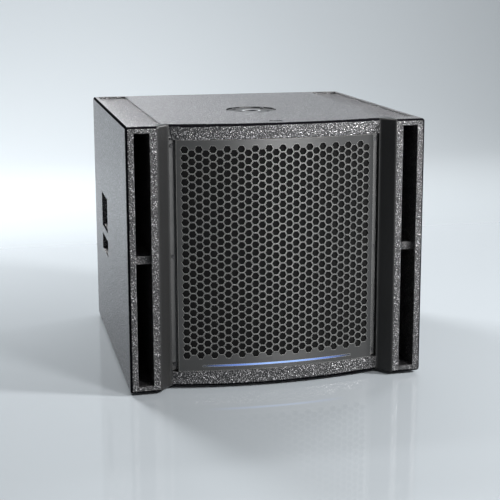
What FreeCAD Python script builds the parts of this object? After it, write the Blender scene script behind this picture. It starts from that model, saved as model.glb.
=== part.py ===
import FreeCAD, Part
import math
import os
from collections import namedtuple

from FreeCAD import Vector

# Bass-reflex subwoofer cabinet with one 18 inch driver and a slot port down each side.
# Millimetres. X runs to the right, Y from front to back, Z up from the floor.
# Depths are counted back from the column fronts, and heights from the underside of the
# bottom panel. The shapes are moved to the row's origin, at the centre of the footprint,
# when they are written. Cutting shapes run 1 mm past the faces that they cut.

Screw = namedtuple("Screw", "head_r head_h shank_r length")
screw_gap = 0.3
pilot_gap = 0.05

# Overall size of the plywood shell
width = 685.0
depth = 683.0
height = 600.0

# Plywood
side_t = 18.0
top_t = 15.0
wall_t = 15.0
baffle_t = 18.0
rear_t = 15.0
cleat = 20.0
edge_r = 7.0

# Slot ports
slot_w = 35.0
port_depth = 350.0
brace_t = 18.0
brace_setback = 24.0
brace_depth = 300.0
window_brace_y = 320.0
window_rib = 50.0
window_rim = 45.0
window_round = 30.0

# Bowed front
cheek_w = 31.5
bow_drop = 29.5
rail_h = 35.0
cheek_depth = 44.0
cheek_land = 3.5
cheek_round = 6.5
baffle_setback = 78.0

# Grille
grille_t = 1.5
grille_setback = 1.0
grille_flange = 14.5
grille_gap = 0.8
flange_gap = 1.5
hex_pitch = 18.1
hex_bar = 2.1
hex_side_margin = 8.5
hex_low_margin = 12.7
hex_top_margin = 10.4
foam_t = 5.0
foam_gap = 0.5
grille_screw = Screw(4.5, 2.6, 2.2, 17.0)
grille_screw_edge = 14.5

# Lamp strip in the lower band of the grille
lamp_end = 53.5
lamp_h = 4.0
lamp_z = 47.5
lamp_housing_d = 9.0
lamp_housing_wall = 3.0

# Skids under the cabinet and the stacking pockets above them
skid_h = 6.0
skid_w = 60.0
skid_edge = 5.0
skid_screw = Screw(4.8, 2.4, 2.1, 14.0)
skid_screw_shares = (0.1, 0.5, 0.9)
pocket_w = 70.0
pocket_depth = 5.0
pocket_lip = 13.5
pocket_front = 45.0
pocket_rear = 20.0

# Pole socket
pole_bore_r = 17.7
pole_tube_r = 20.0
pole_tube_l = 90.0
pole_y = 278.0
pole_flange_r = 60.0
pole_flange_t = 2.5
pole_recess = 5.0
pole_pcd = 98.0
pole_screw = Screw(5.2, 2.4, 2.7, 27.0)
pole_block = 170.0
pole_block_lead = 30.0
plug_r = 15.5
plug_y = 33.0
plug_recess = 2.5
plug_hole_r = 10.0
plug_cap_t = 1.4
plug_wall = 1.6
seat_gap = 0.5

# Handles
handle_y = 453.0
handle_w = 120.0
handle_z0 = 222.0
handle_z1 = 372.0
grip_z0 = 260.0
grip_z1 = 288.0
grip_r = 5.0
cup_depth = 55.0
cup_wall = 2.5
cup_flange = 20.0
cup_clear = 1.0
cup_rim = 8.0
cup_corner_r = 12.0
cup_screw = Screw(4.2, 2.2, 1.9, 9.0)
cup_screw_inset = 20.0

# Rear panel and connector plate
rear_recess = 12.0
plate_w = 170.0
plate_h = 120.0
plate_t = 2.5
plate_z = 170.0
plate_hole = 12.0
gasket_t = 1.5
socket_pitch = 70.0
socket_r = 12.0
socket_face = 28.0
socket_face_t = 2.5
socket_body_l = 30.0
socket_bore_r = 9.5
socket_core_r = 4.0
plate_corner_r = 8.0
plate_screw = Screw(4.0, 2.2, 1.9, 16.0)
plate_screw_inset = 8.0
socket_screw = Screw(2.6, 1.6, 1.3, 9.0)
socket_floor = 4.0
socket_tab_l = 8.0

# Wiring and lining
lead_r = 3.0
tinsel_r = 1.2
clip_t = 2.0
clip_w = 8.0
clip_x = 63.6
lining_t = 28.0
lining_gap = 6.0

# Driver
driver_r = 230.0
driver_cutout_r = 212.0
driver_pcd = 440.0
driver_bolts = 8
driver_bolt_r = 3.0
driver_flange_t = 8.0
basket_t = 4.0
basket_depth = 142.0
basket_seat_r = 116.0
basket_arms = 8
cone_r = 172.0
coil_r = 50.0
surround_t = 1.2
cone_t = 1.5
cone_depth = 78.0
cap_r = 64.0
cap_rise = 18.0
motor_r = 110.0
top_plate_t = 10.0
magnet_t = 24.0
back_plate_t = 10.0
pole_piece_r = 48.8
vent_r = 16.0
magnet_bore_r = 60.0
gap_r = 52.6
former_t = 0.4
winding_t = 1.5
winding_l = 16.0
lip_w = 9.0
ledge_setback = 40.0
ledge_in_r = 126.0
spider_waves = 10
spider_swing = 3.0
spider_t = 1.0
seat_t = 6.0
terminal_y = 150.0
terminal_d = 16.0
terminal_w = 34.0
terminal_h = 10.0
driver_gasket_t = 3.8
bolt_head_r = 5.0
bolt_head_h = 6.0
bolt_socket_flats = 5.0
nut_plate_r = 9.5
nut_barrel_l = 12.0
rim_depth = 26.0

# Positions that follow from the sizes
side_in = width / 2 - side_t
slot_in = side_in - slot_w
column_in = slot_in - wall_t
opening = column_in - cheek_w
grille_half = opening - grille_flange
lamp_half = grille_half - lamp_end
bow_r = (opening ** 2 + bow_drop ** 2) / (2 * bow_drop)
baffle_back = baffle_setback + baffle_t
rear_face = depth - rear_recess
rear_in = rear_face - rear_t
driver_z = height / 2
flange_front = cheek_depth - grille_t
flange_out = opening - flange_gap
grille_screw_x = (grille_half + flange_out) / 2 + 0.5
window_floor = top_t + window_rim
plate_y = rear_face + gasket_t
flange_y = baffle_setback - driver_flange_t
rim_y = baffle_setback + rim_depth
seat_y = baffle_setback + basket_depth
basket_in_r = driver_cutout_r - 10
basket_rim_r = driver_cutout_r - 2
cone_edge_r = cone_r + 2.5
ledge_y = seat_y - ledge_setback
neck_y = flange_y + cone_depth
top_plate_y = seat_y
magnet_y = top_plate_y + top_plate_t
back_plate_y = magnet_y + magnet_t
motor_end = back_plate_y + back_plate_t
nut_barrel_r = driver_bolt_r + 1.1


def box(x0, x1, y0, y1, z0, z1):
    """A box between two corners."""
    return Part.makeBox(x1 - x0, y1 - y0, z1 - z0, Vector(x0, y0, z0))


def cylinder(r, length, base, axis):
    return Part.makeCylinder(r, length, base, axis)


def y_rod(r, x, y, z, length):
    """A rod that runs back from depth y."""
    return cylinder(r, length, Vector(x, y, z), Vector(0, 1, 0))


def z_rod(r, x, y, z, length):
    return cylinder(r, length, Vector(x, y, z), Vector(0, 0, 1))


def x_rod(r, x, y, z, length):
    return cylinder(r, length, Vector(x, y, z), Vector(1, 0, 0))


def compound(shapes):
    return Part.makeCompound(shapes)


def mirrored(shape):
    """The same piece on the other side of the cabinet."""
    return shape.mirror(Vector(0, 0, 0), Vector(1, 0, 0))


def bow_y(x, setback=0.0):
    """Depth of the bowed front at x."""
    return setback + bow_r - math.sqrt(bow_r ** 2 - x ** 2)


def line(a, b):
    return Part.makeLine(Vector(*a), Vector(*b))


def arc(a, middle, b):
    return Part.Arc(Vector(*a), Vector(*middle), Vector(*b)).toShape()


def plan(edges, z0, z1):
    """A closed plan outline, drawn at z = 0, raised from z0 to z1."""
    face = Part.Face(Part.Wire(edges))
    solid = face.extrude(Vector(0, 0, z1 - z0))
    solid.translate(Vector(0, 0, z0))
    return solid


def revolved(points, arcs=None):
    """A ring of the section through points (r, y), turned about the driver's axis."""
    arcs = arcs or {}
    edges = []
    for i, start in enumerate(points):
        end = points[(i + 1) % len(points)]
        a = (start[0], start[1], driver_z)
        b = (end[0], end[1], driver_z)
        if i in arcs:
            middle = (arcs[i][0], arcs[i][1], driver_z)
            edges.append(arc(a, middle, b))
        else:
            edges.append(line(a, b))
    face = Part.Face(Part.Wire(edges))
    return face.revolve(Vector(0, 0, driver_z), Vector(0, 1, 0), 360)


def edges_where(shape, test):
    return [e for e in shape.Edges if test(e.BoundBox)]


def rounded(shape, radius, test):
    return shape.makeFillet(radius, edges_where(shape, test))


def near(a, b):
    return abs(a - b) < 0.01


# ---------------------------------------------------------------- plywood shell

def front_outline(z):
    """The front edge of the top and bottom panels, from left to right."""
    end = bow_y(opening)
    return [
        line((-side_in, 0, z), (-column_in, 0, z)),
        line((-column_in, 0, z), (-column_in, cheek_depth, z)),
        line((-column_in, cheek_depth, z), (-opening, cheek_depth, z)),
        line((-opening, cheek_depth, z), (-opening, end, z)),
        arc((-opening, end, z), (0, 0, z), (opening, end, z)),
        line((opening, end, z), (opening, cheek_depth, z)),
        line((opening, cheek_depth, z), (column_in, cheek_depth, z)),
        line((column_in, cheek_depth, z), (column_in, 0, z)),
        line((column_in, 0, z), (side_in, 0, z)),
    ]


def deck(z0, z1, outer_z):
    """A horizontal board with the bowed front, rounded along its outer front and rear edges."""
    edges = front_outline(0)
    edges += [
        line((side_in, 0, 0), (side_in, depth, 0)),
        line((side_in, depth, 0), (-side_in, depth, 0)),
        line((-side_in, depth, 0), (-side_in, 0, 0)),
    ]
    board = plan(edges, z0, z1)

    def outer_edge(b):
        level = near(b.ZMin, outer_z) and near(b.ZMax, outer_z)
        front = near(b.YMin, 0) and b.YLength < bow_drop + 1 and b.XLength > slot_w
        back = near(b.YMin, depth)
        return level and (front or back)

    return rounded(board, edge_r, outer_edge)


def stacking_pocket():
    """The cut across the joint of the top and right side panels that takes a skid."""
    x1 = width / 2 - pocket_lip
    return box(x1 - pocket_w, x1, pocket_front, depth - pocket_rear, height - pocket_depth, height + 1)


def top_panel():
    board = deck(height - top_t, height, height)
    pocket = stacking_pocket()
    board = board.cut(pocket).cut(mirrored(pocket))
    recess = z_rod(pole_flange_r + seat_gap, 0, pole_y, height - pole_recess, pole_recess + 1)
    bore = z_rod(pole_tube_r + seat_gap, 0, pole_y, height - top_t - 1, top_t + 2)
    plug_seat = z_rod(plug_r + screw_gap, 0, plug_y, height - plug_recess, plug_recess + 1)
    plug_hole = z_rod(plug_hole_r + screw_gap, 0, plug_y, height - top_t - 1, top_t + 2)
    board = board.cut(compound([recess, plug_seat]))
    board = board.cut(compound([bore, plug_hole]))
    return board.cut(compound(pole_screw_holes(height - top_t - 1, top_t + 2)))


def pole_screw_points():
    points = []
    for k in range(4):
        a = math.radians(45 + 90 * k)
        r = pole_pcd / 2
        points.append((r * math.cos(a), pole_y + r * math.sin(a)))
    return points


def pole_screw_holes(z, length):
    r = pole_screw.shank_r + screw_gap
    return [z_rod(r, x, y, z, length) for x, y in pole_screw_points()]


def bottom_panel():
    board = deck(0, top_t, 0)
    return board.cut(compound(skid_screw_holes(-1, top_t + 2)))


def side_panel():
    """Right side panel: every outer edge rounded, two windows for the handle with a grip between."""
    board = box(side_in, width / 2, 0, depth, 0, height)

    def outer_edge(b):
        outside = near(b.XMin, width / 2)
        across = b.XLength > 1
        return outside or across

    board = rounded(board, edge_r, outer_edge).cut(stacking_pocket())
    y0 = handle_y - handle_w / 2
    y1 = handle_y + handle_w / 2
    for z0, z1 in ((handle_z0, grip_z0), (grip_z1, handle_z1)):
        window = box(side_in - 1, width / 2 + 1, y0, y1, z0, z1)
        board = board.cut(window)

    def grip_edge(b):
        along = near(b.YMin, y0) and near(b.YMax, y1)
        on_grip = near(b.ZMin, grip_z0) or near(b.ZMin, grip_z1)
        return along and on_grip

    board = rounded(board, grip_r, grip_edge)
    r = cup_screw.shank_r + screw_gap
    holes = [x_rod(r, side_in - 1, y, z, cup_screw.length + 1) for y, z in cup_screw_points()]
    return board.cut(compound(holes))


def rear_panel():
    board = box(-side_in, side_in, rear_in, rear_face, top_t, height - top_t)
    cut_w = plate_w / 2 - plate_hole
    cut_h = plate_h / 2 - plate_hole
    window = box(-cut_w, cut_w, rear_in - 1, rear_face + 1, plate_z - cut_h, plate_z + cut_h)
    return board.cut(window).cut(compound(plate_screw_holes(rear_in - 1, rear_t + 2)))


def port_wall():
    """Right inner wall of the port, from the column front to the port's inlet."""
    return box(column_in, slot_in, 0, port_depth, top_t, height - top_t)


def port_brace():
    """Stiffener across the right slot at mid height."""
    z0 = height / 2 - brace_t / 2
    y1 = brace_setback + brace_depth
    return box(slot_in, side_in, brace_setback, y1, z0, z0 + brace_t)


def bolt_circle(count, radius):
    step = 2 * math.pi / count
    angles = [step * (k + 0.5) for k in range(count)]
    return [(radius * math.cos(a), driver_z + radius * math.sin(a)) for a in angles]


def driver_baffle():
    board = box(-column_in, column_in, baffle_setback, baffle_back, top_t, height - top_t)
    hole = y_rod(driver_cutout_r, 0, baffle_setback - 1, driver_z, baffle_t + 2)
    drilled = [y_rod(nut_barrel_r, x, baffle_setback - 1, z, baffle_t + 2) for x, z in driver_points()]
    return board.cut(hole).cut(compound(drilled))


def rail(z0, z1):
    """A batten behind the bow, between the deck and the grille opening."""
    end = bow_y(opening)
    edges = [
        arc((-opening, end, 0), (0, 0, 0), (opening, end, 0)),
        line((opening, end, 0), (opening, baffle_setback, 0)),
        line((opening, baffle_setback, 0), (-opening, baffle_setback, 0)),
        line((-opening, baffle_setback, 0), (-opening, end, 0)),
    ]
    return plan(edges, z0, z1).cut(driver_notch())


def cheek():
    """Right cheek: a smooth vertical moulding that leads from the column back to the opening."""
    end = bow_y(opening)
    slope = math.atan2(end, column_in - opening - 2 * cheek_land)
    half = slope / 2
    lead = cheek_round * math.tan(half)
    fall = (lead * math.cos(slope), lead * math.sin(slope))
    outer_x = column_in - cheek_land
    inner_x = opening + cheek_land
    a = (column_in, 0, 0)
    b = (outer_x + lead, 0, 0)
    c = (outer_x - fall[0], fall[1], 0)
    d = (inner_x + fall[0], end - fall[1], 0)
    e = (inner_x - lead, end, 0)
    f = (opening, end, 0)
    rise = cheek_round * (1 - math.cos(half))
    reach = cheek_round * math.sin(half)
    edges = [
        line(a, b),
        arc(b, (b[0] - reach, rise, 0), c),
        line(c, d),
        arc(d, (e[0] + reach, end - rise, 0), e),
        line(e, f),
        line(f, (opening, cheek_depth, 0)),
        line((opening, cheek_depth, 0), (column_in, cheek_depth, 0)),
        line((column_in, cheek_depth, 0), a),
    ]
    body = plan(edges, 0, height)

    def end_edge(b):
        level = near(b.ZLength, 0)
        front = b.YMax < cheek_depth - 1
        return level and front

    return rounded(body, edge_r * 0.8, end_edge)


def driver_notch():
    """The room that the front frame leaves round the driver's flange."""
    return y_rod(driver_r + 1.5, 0, baffle_setback - driver_flange_t - 3, driver_z, driver_flange_t + 4)


def grille_batten():
    """Upright behind the right cheek that takes the grille screws, notched round the driver."""
    batten = box(grille_half, column_in, cheek_depth, baffle_setback, rail_h, height - rail_h)
    r = grille_screw.shank_r + pilot_gap
    pilot = grille_screw.length + 3
    holes = [y_rod(r, grille_screw_x, cheek_depth - 1, z, pilot) for z in grille_screw_z()]
    return batten.cut(compound(holes)).cut(driver_notch())


def baffle_cleats():
    """Glue blocks behind the baffle, against the port walls."""
    z0 = top_t + cleat
    right = box(column_in - cleat, column_in, baffle_back, baffle_back + cleat, z0, height - z0)
    return compound([mirrored(right), right])


def rear_cleats():
    """Glue blocks round the inside of the rear panel."""
    y0 = rear_in - cleat
    low = box(-side_in + cleat, side_in - cleat, y0, rear_in, top_t, top_t + cleat)
    high = box(-side_in + cleat, side_in - cleat, y0, rear_in, height - top_t - cleat, height - top_t)
    right = box(side_in - cleat, side_in, y0, rear_in, top_t, height - top_t)
    return compound([low, high, right, mirrored(right)])


def window_brace():
    """Board between the port walls behind the driver, with four windows for the air."""
    y0 = window_brace_y
    board = box(-column_in, column_in, y0, y0 + wall_t, top_t, height - top_t)
    reach_z = height / 2 - top_t - window_rim
    window = box(window_rib / 2, column_in - window_rim, y0 - 1, y0 + wall_t + 1, window_rib / 2, reach_z)
    window = rounded(window, window_round, lambda b: b.YLength > wall_t)
    below = window.mirror(Vector(0, 0, 0), Vector(0, 0, 1))
    for right in (window, below):
        for opening_cut in (right, mirrored(right)):
            board = board.cut(placed(opening_cut, 0, 0, height / 2))
    return board


# ---------------------------------------------------------------- grille

def grille_screw_z():
    low = rail_h + grille_screw_edge
    return (low, height / 2, height - low)


def curved_sheet(half, setback, thickness, z0, z1):
    """A sheet that follows the bow."""
    a, b = bow_y(half, setback), bow_y(half, setback + thickness)
    edges = [
        arc((-half, a, 0), (0, setback, 0), (half, a, 0)),
        line((half, a, 0), (half, b, 0)),
        arc((half, b, 0), (0, setback + thickness, 0), (-half, b, 0)),
        line((-half, b, 0), (-half, a, 0)),
    ]
    return plan(edges, z0, z1)


def hexagon(flats):
    """A hexagonal punch across the sheet at x = 0, z = 0, with flat top and bottom."""
    r = flats / math.sqrt(3)
    start = grille_setback - 4
    corners = []
    for k in range(7):
        a = math.radians(60 * k)
        corners.append(Vector(r * math.cos(a), start, r * math.sin(a)))
    return Part.Face(Part.makePolygon(corners)).extrude(Vector(0, grille_t + 8, 0))


def hex_counts(column_step, low, high):
    """How many columns and rows of holes fit between the sheet's plain margins."""
    flats = hex_pitch - hex_bar
    corners = flats * 2 / math.sqrt(3)
    sheet_l = 2 * bow_r * math.asin(grille_half / bow_r)
    columns = int((sheet_l - 2 * hex_side_margin - corners) / column_step) + 1
    rows = int((high - low - flats) / hex_pitch) + 1
    return columns, rows


def hex_punches():
    """Every hole of the grille, each square to the sheet at its place on the bow."""
    punch = hexagon(hex_pitch - hex_bar)
    column_step = hex_pitch * math.sqrt(3) / 2
    low = lamp_z + lamp_h / 2 + hex_low_margin
    high = height - rail_h - grille_gap - hex_top_margin
    columns, full_rows = hex_counts(column_step, low, high)
    centre = Vector(0, grille_setback + bow_r, 0)
    punches = []
    for column in range(columns):
        along = (column - (columns - 1) / 2) * column_step
        turn = math.degrees(along / bow_r)
        rows = full_rows - column % 2
        for row in range(rows):
            z = (low + high) / 2 + (row - (rows - 1) / 2) * hex_pitch
            hole = punch.copy()
            hole.translate(Vector(0, 0, z))
            hole.rotate(centre, Vector(0, 0, 1), turn)
            punches.append(hole)
    return punches


def lamp_slot(clearance, setback, thickness):
    """The lamp strip's outline, following the bow."""
    half = lamp_half + clearance
    z0 = lamp_z - lamp_h / 2 - clearance
    z1 = lamp_z + lamp_h / 2 + clearance
    return curved_sheet(half, setback, thickness, z0, z1)


def grille():
    """Perforated steel sheet, bowed, with a fold and a screw flange down each side."""
    z0 = rail_h + grille_gap
    z1 = height - rail_h - grille_gap
    half = grille_half
    sheet = curved_sheet(half, grille_setback, grille_t, z0, z1)
    y_edge = bow_y(half, grille_setback)
    fold = box(half - grille_t, half, y_edge, cheek_depth, z0, z1)
    flange = box(half - grille_t, flange_out, flange_front, cheek_depth, z0, z1)
    side = fold.fuse(flange)
    r = grille_screw.shank_r + screw_gap
    holes = [y_rod(r, grille_screw_x, flange_front - 1, z, grille_t + 2) for z in grille_screw_z()]
    side = side.cut(compound(holes))
    sheet = sheet.cut(compound(hex_punches()))
    sheet = sheet.cut(lamp_slot(0.0, grille_setback - 2, grille_t + 4))
    return sheet.fuse([side, mirrored(side)]).removeSplitter()


def grille_foam():
    """Thin open-cell foam glued to the back of the sheet, above the lamp strip."""
    half = grille_half - grille_t - 1
    setback = grille_setback + grille_t + foam_gap
    z0 = lamp_z + lamp_h / 2 + lamp_housing_wall + 2
    return curved_sheet(half, setback, foam_t, z0, height - rail_h - 2)


def lamp_strip():
    """Clear acrylic bar that fills the slot in the grille."""
    return lamp_slot(-0.1, grille_setback, grille_t + 3)


def lamp_housing():
    """Channel behind the grille that holds the acrylic bar and its lamps."""
    half = lamp_half + lamp_housing_wall
    setback = grille_setback + grille_t + 0.2
    wall = lamp_housing_wall
    low = lamp_z - lamp_h / 2 - wall
    high = lamp_z + lamp_h / 2 + wall
    outer = curved_sheet(half, setback, lamp_housing_d, low, high)
    inner = curved_sheet(lamp_half, setback - 1, lamp_housing_d - wall + 1, low + wall, high - wall)
    return outer.cut(inner)


def pan_screw(size, cross=True):
    """A screw at the origin: head towards -Y, shank towards +Y."""
    head_r, head_h = size.head_r, size.head_h
    head = cylinder(head_r, head_h, Vector(0, -head_h, 0), Vector(0, 1, 0))
    head = rounded(head, head_h * 0.45, lambda b: near(b.YMin, -head_h) and near(b.YMax, -head_h))
    screw = head.fuse(cylinder(size.shank_r, size.length, Vector(0, 0, 0), Vector(0, 1, 0)))
    if cross:
        arm = head_r * 0.55
        slit = head_r * 0.13
        cut_depth = head_h * 0.6
        first = box(-arm, arm, -head_h - 1, -head_h + cut_depth, -slit, slit)
        second = box(-slit, slit, -head_h - 1, -head_h + cut_depth, -arm, arm)
        screw = screw.cut(first.fuse(second))
    return screw


def placed(shape, x, y, z):
    copy = shape.copy()
    copy.translate(Vector(x, y, z))
    return copy


def turned(shape, axis, angle):
    copy = shape.copy()
    copy.rotate(Vector(0, 0, 0), axis, angle)
    return copy


def grille_screws():
    screw = pan_screw(grille_screw)
    screws = []
    for side in (-1, 1):
        for z in grille_screw_z():
            screws.append(placed(screw, side * grille_screw_x, flange_front, z))
    return compound(screws)


# ---------------------------------------------------------------- skids, pole socket, plug

def skid_centre():
    return width / 2 - pocket_lip - pocket_w / 2


def skid_span():
    return pocket_front + skid_edge, depth - pocket_rear - skid_edge


def skid_screw_points():
    y0, y1 = skid_span()
    return [(skid_centre(), y0 + (y1 - y0) * share) for share in skid_screw_shares]


def skid_screw_holes(z, length):
    r = skid_screw.shank_r + screw_gap
    holes = [z_rod(r, x, y, z, length) for x, y in skid_screw_points()]
    return holes + [mirrored(hole) for hole in holes]


def skid():
    """Right runner under the bottom panel, a little smaller than the pocket it stacks into."""
    y0, y1 = skid_span()
    half = skid_w / 2
    runner = box(skid_centre() - half, skid_centre() + half, y0, y1, -skid_h, 0)

    def lower_edge(b):
        return near(b.ZMax, -skid_h) or b.ZLength > 1

    runner = rounded(runner, skid_h * 0.4, lower_edge)
    for x, y in skid_screw_points():
        runner = runner.cut(z_rod(skid_screw.shank_r + screw_gap, x, y, -skid_h - 1, skid_h + 2))
        runner = runner.cut(z_rod(skid_screw.head_r + screw_gap, x, y, -skid_h - 1, skid_h / 2 + 1))
    return runner


def skid_screws():
    screw = turned(pan_screw(skid_screw), Vector(1, 0, 0), 90)
    right = [placed(screw, x, y, -skid_h / 2) for x, y in skid_screw_points()]
    return compound(right + [mirrored(s) for s in right])


def pole_socket():
    """Pressed steel cup with a round flange, for a 35 mm pole."""
    z = height - pole_recess
    flange = z_rod(pole_flange_r, 0, pole_y, z, pole_flange_t)
    flange = rounded(flange, pole_flange_t * 0.4, lambda b: near(b.ZMin, z + pole_flange_t))
    tube = z_rod(pole_tube_r, 0, pole_y, z - pole_tube_l, pole_tube_l)
    floor = pole_tube_r - pole_bore_r
    bore = z_rod(pole_bore_r, 0, pole_y, z - pole_tube_l + floor, pole_tube_l + pole_flange_t)
    socket = flange.fuse(tube).cut(bore)
    return socket.cut(compound(pole_screw_holes(z - 1, pole_flange_t + 2)))


def pole_socket_screws():
    screw = turned(pan_screw(pole_screw), Vector(1, 0, 0), -90)
    z = height - pole_recess + pole_flange_t
    return compound([placed(screw, x, y, z) for x, y in pole_screw_points()])


def pole_block_board():
    """Plywood block under the top panel that takes the pole socket's screws, butted to the brace."""
    half = pole_block / 2
    z1 = height - top_t
    y0 = 2 * pole_y - window_brace_y - pole_block_lead
    board = box(-half, half, y0, window_brace_y, z1 - side_t, z1)
    board = board.cut(z_rod(pole_tube_r + seat_gap, 0, pole_y, z1 - side_t - 1, side_t + 2))
    return board.cut(compound(pole_screw_holes(z1 - side_t - 1, side_t + 2)))


def blanking_plug():
    """Push-in cap that closes the spare fixing hole at the front of the top panel."""
    z = height - plug_recess
    cap = z_rod(plug_r, 0, plug_y, z, plug_cap_t)
    cap = rounded(cap, plug_cap_t * 0.4, lambda b: near(b.ZMin, z + plug_cap_t))
    stem = z_rod(plug_hole_r, 0, plug_y, height - top_t, top_t - plug_recess)
    hollow = z_rod(plug_hole_r - plug_wall, 0, plug_y, height - top_t - 1, top_t - plug_recess)
    return cap.fuse(stem).cut(hollow)


# ---------------------------------------------------------------- handles

def cup_screw_points():
    reach = handle_w / 2 + cup_clear + cup_wall + cup_flange * 0.55
    low = handle_z0 + cup_screw_inset
    high = handle_z1 - cup_screw_inset
    return [(handle_y + s * reach, z) for s in (-1, 1) for z in (low, high)]


def handle_cup():
    """Right handle cup: a moulded box behind the windows, with a flange on the panel's inner face."""
    half = handle_w / 2 + cup_clear
    z0 = handle_z0 - cup_clear
    z1 = handle_z1 + cup_clear
    x1 = side_in
    x0 = side_in - cup_depth
    wall = cup_wall
    outer = box(x0, x1, handle_y - half - wall, handle_y + half + wall, z0 - wall, z1 + wall)
    outer = rounded(outer, cup_corner_r, lambda b: near(b.XMax, x0) or b.XLength > cup_wall)
    inner = box(x0 + wall, x1 + 1, handle_y - half, handle_y + half, z0, z1)
    inner = rounded(inner, cup_corner_r - wall, lambda b: near(b.XMax, x0 + wall) or b.XLength > wall)
    reach = half + wall + cup_flange
    rim = wall + cup_rim
    flange = box(x1 - wall, x1, handle_y - reach, handle_y + reach, z0 - rim, z1 + rim)
    cup = outer.fuse(flange).cut(inner)
    r = cup_screw.shank_r + screw_gap
    holes = [x_rod(r, x1 - wall - 1, y, z, wall + 2) for y, z in cup_screw_points()]
    return cup.cut(compound(holes))


def handle_screws():
    screw = turned(pan_screw(cup_screw), Vector(0, 0, 1), -90)
    right = [placed(screw, side_in - cup_wall, y, z) for y, z in cup_screw_points()]
    return compound(right + [mirrored(s) for s in right])


# ---------------------------------------------------------------- connector plate

def plate_screw_points():
    x = plate_w / 2 - plate_screw_inset
    z = plate_h / 2 - plate_screw_inset
    corners = [(sx * x, plate_z + sz * z) for sx in (-1, 1) for sz in (-1, 1)]
    return corners + [(0, plate_z - z), (0, plate_z + z)]


def plate_screw_holes(y, length):
    r = plate_screw.shank_r + screw_gap
    return [y_rod(r, x, y, z, length) for x, z in plate_screw_points()]


def socket_centres():
    return [(-socket_pitch / 2, plate_z), (socket_pitch / 2, plate_z)]


def plate_outline(y0, t):
    plate = box(-plate_w / 2, plate_w / 2, y0, y0 + t, plate_z - plate_h / 2, plate_z + plate_h / 2)
    return rounded(plate, plate_corner_r, lambda b: b.YLength > t * 0.9)


def connector_gasket():
    gasket = plate_outline(rear_face, gasket_t)
    w = plate_w / 2 - plate_hole
    h = plate_h / 2 - plate_hole
    gasket = gasket.cut(box(-w, w, rear_face - 1, plate_y + 1, plate_z - h, plate_z + h))
    return gasket.cut(compound(plate_screw_holes(rear_face - 1, gasket_t + 2)))


def connector_plate():
    plate = plate_outline(plate_y, plate_t)
    holes = plate_screw_holes(plate_y - 1, plate_t + 2)
    holes += [y_rod(socket_r, x, plate_y - 1, z, plate_t + 2) for x, z in socket_centres()]
    holes += socket_screw_holes(plate_y - 1, plate_t + 2, socket_centres())
    return plate.cut(compound(holes))


def socket_screw_points(centres):
    """Two screws on a diagonal of each socket's face."""
    points = []
    for x, z in centres:
        for s in (-1, 1):
            points.append((x + s * socket_face * 0.34, z + s * socket_face * 0.42))
    return points


def socket_screw_holes(y, length, centres):
    r = socket_screw.shank_r + pilot_gap
    return [y_rod(r, x, y, z, length) for x, z in socket_screw_points(centres)]


def speaker_socket():
    """Four-pole locking socket at the origin: face towards +Y, body towards -Y."""
    half = socket_face / 2
    corner_r = 4.0
    back = -socket_body_l
    face = box(-half, half, 0, socket_face_t, -half - 2, half + 2)
    face = rounded(face, corner_r, lambda b: b.YLength > 1)
    body = y_rod(socket_r - screw_gap, 0, back, 0, socket_body_l)
    bore = y_rod(socket_bore_r, 0, back + socket_floor, 0, socket_body_l)
    core = y_rod(socket_core_r, 0, back + socket_floor / 2, 0, socket_body_l - socket_floor * 0.75)
    core = core.cut(compound(around_socket(contact_groove(), 0)))
    shell = face.fuse(body).cut(bore).cut(compound(socket_screw_holes(-1, socket_face_t + 2, [(0, 0)])))
    return shell.fuse([core] + around_socket(solder_tab(), 45))


def around_socket(shape, first):
    """Four copies of a shape about the socket's axis."""
    return [turned(shape, Vector(0, 1, 0), first + 90 * k) for k in range(4)]


def contact_groove():
    half = 0.7
    groove_depth = 0.9
    front = -socket_body_l + socket_floor * 1.5
    return box(-half, half, front, 0, socket_core_r - groove_depth, socket_core_r + 1)


def solder_tab():
    half = 2.4
    offset = socket_r / 2
    thickness = 0.8
    return box(-half, half, -socket_body_l - socket_tab_l, -socket_body_l, offset, offset + thickness)


def speaker_sockets():
    y = plate_y + plate_t
    return compound([placed(speaker_socket(), x, y, z) for x, z in socket_centres()])


def socket_screws():
    screw = turned(pan_screw(socket_screw, False), Vector(0, 0, 1), 180)
    y = plate_y + plate_t + socket_face_t
    return compound([placed(screw, x, y, z) for x, z in socket_screw_points(socket_centres())])


def plate_screws():
    screw = turned(pan_screw(plate_screw), Vector(0, 0, 1), 180)
    y = plate_y + plate_t
    return compound([placed(screw, x, y, z) for x, z in plate_screw_points()])


# ---------------------------------------------------------------- internal wiring and lining

def rounded_path(points):
    """Straight runs joined by tangent arcs, each as large as its two runs allow."""
    p = [Vector(*point) for point in points]
    edges = []
    radii = []
    start = p[0]
    for before, corner, after in zip(p, p[1:], p[2:]):
        into = (corner - before).normalize()
        out = (after - corner).normalize()
        half = into.getAngle(out) / 2
        shorter = min((corner - before).Length, (after - corner).Length)
        lead = 0.45 * shorter
        radii.append(lead / math.tan(half))
        first = corner - into * lead
        last = corner + out * lead
        inward = (out - into).normalize()
        middle = corner + inward * (radii[-1] / math.cos(half) - radii[-1])
        edges.append(Part.makeLine(start, first))
        edges.append(Part.Arc(first, middle, last).toShape())
        start = last
    edges.append(Part.makeLine(start, p[-1]))
    return Part.Wire(edges), radii


def tube(points, r):
    """A round lead along the points."""
    path, radii = rounded_path(points)
    along = Vector(*points[1]) - Vector(*points[0])
    section = Part.Wire(Part.makeCircle(r, Vector(*points[0]), along))
    solid = path.makePipeShell([section], True, False)
    print("lead r %.1f, length %.0f, smallest bend %.0f" % (r, path.Length, min(radii)))
    return solid


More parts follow.
